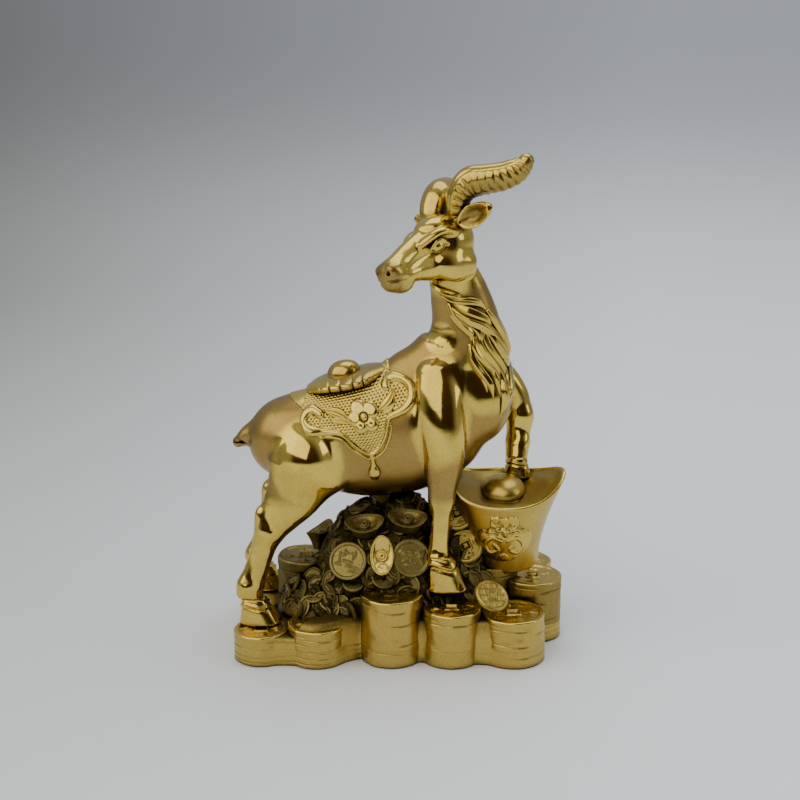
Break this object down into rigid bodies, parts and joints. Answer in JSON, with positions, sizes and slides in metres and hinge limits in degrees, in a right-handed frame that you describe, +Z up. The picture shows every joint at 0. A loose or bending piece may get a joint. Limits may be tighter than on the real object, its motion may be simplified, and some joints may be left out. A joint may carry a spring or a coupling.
{
  "type": "goat statuette",
  "caption": "Cast-brass statuette of a saddled, long-horned goat that looks back over its flank, standing on coin stacks with one fore hoof on a boat-shaped ingot.",
  "frame": {"origin": "middle of the underside of the base, on the surface the statuette stands on", "axes": "+Z up, the tallest direction; +X towards the goat's breast, along the base's long side; -Y towards the goat's right flank, which is the side the head looks to"},
  "size_m": [0.1013, 0.0588, 0.1497],
  "materials": {
    "polished_brass": "mirror polished",
    "satin_brass": "brushed after casting, half bright",
    "aged_brass": "as cast, toned dark in the recesses"
  },
  "bodies": {
    "root": {"plinth": "satin_brass", "coin_stack_right_hind": "satin_brass", "coin_stack_front_left": "satin_brass", "coin_stack_front_middle": "satin_brass", "coin_stack_right_fore": "satin_brass", "coin_stack_front_right": "satin_brass", "coin_stack_right_end": "satin_brass", "coin_stack_right_rear": "satin_brass", "coin_stack_left_middle": "satin_brass", "coin_stack_left_hind": "satin_brass", "coin_stack_rear_left": "satin_brass", "coin_stack_rear_middle": "satin_brass", "coin_stack_rear_right": "satin_brass", "ingot_pedestal": "satin_brass", "large_ingot_hull": "satin_brass", "large_ingot_dome": "satin_brass", "large_ingot_emblem": "aged_brass", "hoof_right_fore": "polished_brass", "hoof_left_fore": "polished_brass", "hoof_right_hind": "polished_brass", "hoof_left_hind": "polished_brass", "foreleg_right": "polished_brass", "foreleg_left": "polished_brass", "hindleg_right": "polished_brass", "hindleg_left": "polished_brass", "torso": "polished_brass", "tail": "polished_brass", "head": "polished_brass", "neck": "polished_brass", "horn_left": "polished_brass", "horn_right": "polished_brass", "ear_left": "polished_brass", "ear_right": "polished_brass", "throat_hair": "polished_brass", "saddle_blanket": "aged_brass", "saddle_seat": "satin_brass", "saddle_knob": "satin_brass", "blossom_right": "satin_brass", "blossom_left": "satin_brass", "pendant_right": "satin_brass", "pendant_left": "satin_brass", "coin_heap": "aged_brass", "coin_front_left": "aged_brass", "coin_front_middle": "aged_brass", "coin_front_low": "aged_brass", "coin_beside_hoof": "aged_brass", "coin_behind_foreleg": "aged_brass", "coin_under_belly": "aged_brass", "coin_rear_left": "aged_brass", "coin_rear_middle": "aged_brass", "coin_rear_right": "aged_brass", "small_ingot_upright": "satin_brass", "small_ingot_belly_left": "satin_brass", "small_ingot_belly_right": "satin_brass", "small_ingot_left": "satin_brass", "small_ingot_rear": "satin_brass"}
  },
  "joints": []
}
